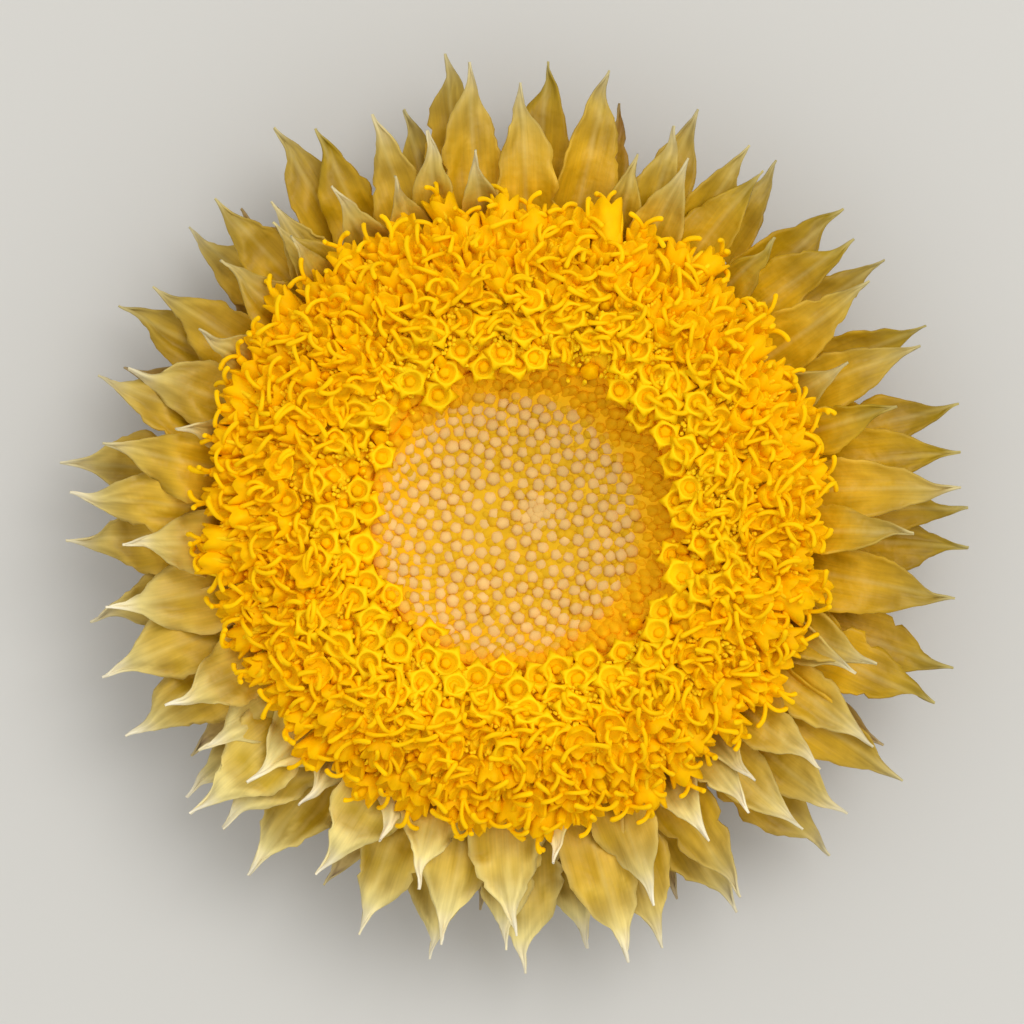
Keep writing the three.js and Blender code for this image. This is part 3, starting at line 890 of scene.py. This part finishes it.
class DAISY_OT_buds(bpy.types.Operator):
    """Model the field of unopened florets in the middle"""
    bl_idname = "daisy.buds"
    bl_label = "Unopened florets"

    def execute(self, context):
        sizes = context.scene.daisy_florets
        rng = random.Random(SEED + 3)
        bud, rising, tuft = [floret_part(name) for name in ("bud", "rising", "tuft")]
        buds, tufts = [marked("rise", "tone", "fade") for _ in range(2)]
        mouths = mouths_of(ring_paths(sizes))
        seats, tops, walls = [], [], []
        for n in range(sizes.bud_count + sizes.rising_count + NEIGHBOUR_STEPS[-1]):
            bearing = math.degrees(n * GOLDEN_ANGLE) % 360
            seat = sizes.pitch * math.sqrt(n + 0.5)
            reach, height = eased(BUD_PROFILE_MM, seat / MM)
            height += floor_rise(bearing, reach)
            seats.append(leaned(around(bearing, seat, 5 * MM)))
            tops.append(leaned(around(bearing, reach * MM, height * MM)))
            walls.append(wall_share(reach, bearing))
        for n in range(sizes.bud_count + sizes.rising_count):
            seat, top, wall = seats[n], tops[n], walls[n]
            if n > sizes.bud_count and mouths.find(top)[2] < 0.55 * MM:
                continue
            # Painted light: the florets' colour is brighter towards the lower left and darker towards the
            # upper right, where the ring shades the hollow
            away = top.to_2d() - AXIS
            painted_light = min(1.02, max(0.82, 0.95 - 0.019 * (away.x + away.y) / MM))
            jitter = Vector([rng.uniform(-0.06, 0.06) * MM for _ in range(3)]) * (1 + 1.5 * wall)
            path = Path([seat, seat.lerp(top, 0.5), top + jitter], heading(rng.uniform(0, 360)))
            laid = laid_along(path, path.length, rng.uniform(0, 6),
                              rng.uniform(0.92, 1.06) * (1 + 0.1 * wall))
            shape = rising if wall > 0.6 else bud
            planted(buds, shape, laid, tone=rng.uniform(0.95, 1.04) * painted_light, fade=wall)
            # A tuft of pappus stands in each gap between this bud and two of its neighbours
            near = sorted(sorted(NEIGHBOUR_STEPS, key=lambda step: (tops[n + step] - top).length)[:3])
            spread = min(max((tops[n + near[2]] - top).length / (0.66 * MM), 0.9), 1.3)
            for step, wide, sunk in ((near[0], 0.95, 0.03), (near[1], 0.85, 0.06)):
                trio = (n, n + step, n + near[2])
                foot = sum((seats[i] for i in trio), Vector()) / 3
                gap = sum((tops[i] for i in trio), Vector()) / 3
                gap -= UP * (sunk + 0.2 * wall + rng.uniform(0, 0.1)) * MM
                line = Path([foot, foot.lerp(gap, 0.5), gap], heading(0))
                laid = laid_along(line, line.length, rng.uniform(0, 6),
                                  wide * spread * rng.uniform(0.85, 1.15))
                # Each tuft takes the painted light of its bud
                planted(tufts, tuft, laid, tone=rng.uniform(0.95, 1.04) * painted_light, fade=wall)
        cushion = turned_on_axis(CUSHION_PROFILE_MM, 96, 0.5 * MM, 0.05 * MM, sloped=True)
        side, tip = sizes.bud_side, sizes.bud_tip
        finished("bud_cushion", cushion, floret_tissue("pappus_bed", side, side, 0.7))
        finished("bud_field", buds, floret_tissue("bud_tissue", side, tip), ["floret_buds"])
        finished("bud_pappus", tufts, floret_tissue("pappus_tips", side, side))
        return {"FINISHED"}


class DAISY_OT_pappus_mat(bpy.types.Operator):
    """Model the matted pappus that fills the ring between the corollas"""
    bl_idname = "daisy.pappus_mat"
    bl_label = "Matted pappus"

    def execute(self, context):
        sizes = context.scene.daisy_florets
        bm = turned_on_axis(MAT_PROFILE_MM, 192, 0.35 * MM, 0.22 * MM)
        finished("pappus_mat", bm, floret_tissue("matted_pappus", sizes.mat, sizes.mat, 0.7))
        return {"FINISHED"}


class DAISY_OT_open_florets(bpy.types.Operator):
    """Model the ring of open florets, with their anthers and style arms"""
    bl_idname = "daisy.open_florets"
    bl_label = "Open florets"

    def execute(self, context):
        sizes = context.scene.daisy_florets
        rng = random.Random(SEED + 5)
        star, goblet, shut, anther, bristle = [
            floret_part(name) for name in ("star", "goblet", "shut", "anther", "bristle")]
        arm = style_arm()
        petals, columns, arms, pappus = [marked("rise", "tone") for _ in range(4)]
        rows = ring_paths(sizes)
        for path, out in rows:
            tone = rng.uniform(0.94, 1.05)
            wide = rng.uniform(0.88, 1.1) * (1 + 0.06 * smooth(0.5, 1, out))
            shape = goblet if out > rng.uniform(0.25, 0.5) else star
            opened = rng.random() > 0.12 - 0.12 * smooth(0.1, 0.4, out)
            laid = laid_along(path, path.length, rng.uniform(0, 6), wide, wide)
            planted(petals, shape if opened else shut, laid, tone=tone)
            for k in range(sizes.bristles):
                laid = laid_along(path, path.length + rng.uniform(-0.6, -0.08) * MM,
                                  k * math.tau / sizes.bristles, 1, 1, rng.uniform(0.48, 0.62) * MM)
                planted(pappus, bristle, laid, tone=rng.uniform(0.9, 1.05))
            if not opened:
                continue
            shown = smooth(0.15, 0.4, out)
            raised = (0.35 * shown + rng.uniform(-0.2, 0.05)) * MM
            laid = laid_along(path, path.length + raised, rng.uniform(0, 6),
                              rng.uniform(0.92, 1.06) - 0.2 * shown, 1, rng.uniform(0.02, 0.08) * MM)
            planted(columns, anther, laid, tone=tone)
            # Some styles are still shut away, and some have their two arms still pressed together
            if rng.random() > 0.94 * smooth(0.05, 0.2, out):
                continue
            apart = rng.uniform(0.1, 0.25) if rng.random() < 0.25 else rng.uniform(0.8, 1.2)
            way = rng.uniform(0, math.tau)
            reach = sizes.arm * rng.uniform(0.7, 1.15)
            reach *= 0.85 + 0.25 * smooth(0.1, 0.6, out) - 0.25 * smooth(0.8, 1, out)
            start = path.length + raised - 0.05 * MM
            for turn in (0, math.pi * apart):
                line = arm_line(path, start, way + turn, reach, rng, 22 * smooth(0.7, 1, out))
                laid = laid_along(line, 0, 0, sizes.arm_width, line.length)
                planted(arms, arm, laid, tone=rng.uniform(0.96, 1.04))
        # Wherever a finer spiral meets a gap, a late floret or a brush of pappus fills it
        mouths = mouths_of(rows)
        finer = 0.9 * sizes.pitch
        n = int((7 * MM / finer) ** 2)
        while finer * math.sqrt(n) < 12.9 * MM:
            n += 1
            top = finer * math.sqrt(n) / MM
            path = ring_path(math.degrees(n * GOLDEN_ANGLE), top, rng.uniform(0.0, 0.25), rng)
            clear = mouths.find(path.spots[-1])[2] / MM
            if clear > FLORET_GAP_MM:
                wide = rng.uniform(0.7, 0.85)
                laid = laid_along(path, path.length, rng.uniform(0, 6), wide)
                planted(petals, shut, laid, tone=rng.uniform(0.92, 1.02))
            elif clear > BRUSH_GAP_MM:
                for _ in range(BRUSH_BRISTLES):
                    start = path.length + rng.uniform(-0.1, 0.15) * MM
                    laid = laid_along(path, start, rng.uniform(0, 6), 1, 1, rng.uniform(0.02, 0.24) * MM)
                    planted(pappus, bristle, laid, tone=rng.uniform(0.9, 1.05))
        # Painted light in part: corollas and anthers are lighter low down, lifting the shade deep in the ring
        base = sizes.petal_base
        tips = floret_tissue("style_tissue", sizes.petal, sizes.style, 0.45, 0.0, 0.5)
        for name, bm, tissue, nodes in (
                ("corollas", petals, floret_tissue("corolla_tissue", base, sizes.petal), ["open_florets"]),
                ("anther_columns", columns, floret_tissue("anther_tissue", base, sizes.anther), []),
                ("ring_pappus", pappus, floret_tissue("pappus_bristles", sizes.mat, sizes.mat), []),
                ("style_arms", arms, tips, [])):
            finished(name, bm, tissue, nodes)
        return {"FINISHED"}


# Stem

STEM_PROFILE_MM = [(0, 0.06), (1.05, 0.04), (1.25, 0.0), (1.32, 0.1), (1.3, 0.8), (1.34, 1.35), (1.7, 1.72),
                   (4.5, 1.98), (7.4, 2.25), (8.0, 2.5), (8.1, 3.0), (8.1, 4.1), (7.7, 4.4), (4.0, 4.62),
                   (0, 4.7)]


class DAISY_OT_stem(bpy.types.Operator):
    """Model the cut stem and the receptacle on it"""
    bl_idname = "daisy.stem"
    bl_label = "Stem and receptacle"

    def execute(self, context):
        bm = turned(STEM_PROFILE_MM, 64)
        for vert in bm.verts:
            radius = vert.co.to_2d().length
            angle = math.atan2(vert.co.y, vert.co.x)
            # Shallow ribs run down the stem and out under the receptacle
            ribs = 1 + 0.05 * math.cos(9 * angle) * (1 - smooth(1.6, 4.0, radius)) * smooth(0.5, 1.0, radius)
            vert.co.x *= ribs
            vert.co.y *= ribs
        bmesh.ops.scale(bm, vec=(MM, MM, MM), verts=bm.verts)
        bmesh.ops.translate(bm, vec=(*AXIS, 0), verts=bm.verts)
        finished("stem_stub", bm, woolly_stem(context.scene.daisy_stem), ["stem_and_receptacle"])
        return {"FINISHED"}


# Stage

SENSOR = 36
# The height at which the view width holds, and the middle of the picture from the head's axis
BRACT_HEIGHT = 6 * MM
VIEW_MIDDLE_MM = (-0.13, 0.04)


class DAISY_OT_stage(bpy.types.Operator):
    """Set the floor, the light and the camera"""
    bl_idname = "daisy.stage"
    bl_label = "Stage"

    def execute(self, context):
        scene = context.scene
        sizes = scene.daisy_stage
        scene.view_settings.view_transform = "Standard"
        bm = bmesh.new()
        bmesh.ops.create_grid(bm, x_segments=1, y_segments=1, size=1.5)
        in_scene("floor", mesh_of("floor", bm, matt_board(sizes)))
        lights = [("key", 45, 62, 620 * MM, 400 * MM, sizes.key_power),
                  ("fill", 200, 70, 600 * MM, 500 * MM, sizes.fill_power)]
        for name, bearing, elevation, distance, size, energy in lights:
            data = bpy.data.lights.new(name, "AREA")
            data.shape = "DISK"
            data.size = size
            data.energy = energy
            lamp = in_scene(name, data)
            climb = math.radians(elevation)
            away = heading(bearing) * math.cos(climb) + UP * math.sin(climb)
            lamp.location = away * distance
            lamp.rotation_euler = away.to_track_quat("Z", "Y").to_euler()
        world = bpy.data.worlds.new("even_light")
        world.use_nodes = True
        background = world.node_tree.nodes["Background"]
        background.inputs["Color"].default_value = linear("F4F4F2")
        background.inputs["Strength"].default_value = sizes.surround
        scene.world = world
        data = bpy.data.cameras.new("camera")
        data.sensor_width = SENSOR
        data.lens = SENSOR * (sizes.height - BRACT_HEIGHT) / sizes.view
        camera = in_scene("camera", data)
        camera.location = (AXIS.x + VIEW_MIDDLE_MM[0] * MM, AXIS.y + VIEW_MIDDLE_MM[1] * MM, sizes.height)
        scene.camera = camera
        return {"FINISHED"}


OPERATORS = [DAISY_OT_node_bracts, DAISY_OT_upper_bracts, DAISY_OT_lower_bracts, DAISY_OT_buds,
             DAISY_OT_pappus_mat, DAISY_OT_open_florets, DAISY_OT_stem, DAISY_OT_stage]
SETTINGS = {"daisy_bracts": DaisyBractSettings, "daisy_florets": DaisyFloretSettings,
            "daisy_stem": DaisyStemSettings, "daisy_stage": DaisyStageSettings}


class DAISY_PT_panel(bpy.types.Panel):
    """The steps that make the flower head, and their settings"""
    bl_idname = "DAISY_PT_panel"
    bl_label = "Everlasting Daisy Head"
    bl_space_type = "VIEW_3D"
    bl_region_type = "UI"
    bl_category = "Daisy"

    def draw(self, context):
        for operator in OPERATORS:
            self.layout.operator(operator.bl_idname)
        for name, group in SETTINGS.items():
            box = self.layout.box()
            for key in group.__annotations__:
                box.prop(getattr(context.scene, name), key)


def register():
    for group in SETTINGS.values():
        bpy.utils.register_class(group)
    for name, group in SETTINGS.items():
        setattr(bpy.types.Scene, name, PointerProperty(type=group))
    for cls in [*OPERATORS, DAISY_PT_panel]:
        bpy.utils.register_class(cls)


def unregister():
    for cls in [DAISY_PT_panel, *reversed(OPERATORS)]:
        bpy.utils.unregister_class(cls)
    for name in SETTINGS:
        delattr(bpy.types.Scene, name)
    for group in reversed(SETTINGS.values()):
        bpy.utils.unregister_class(group)


def main():
    register()
    bpy.ops.daisy.node_bracts()
    bpy.ops.daisy.upper_bracts()
    bpy.ops.daisy.lower_bracts()
    bpy.ops.daisy.buds()
    bpy.ops.daisy.pappus_mat()
    bpy.ops.daisy.open_florets()
    bpy.ops.daisy.stem()
    bpy.ops.daisy.stage()


if __name__ == "__main__":
    main()
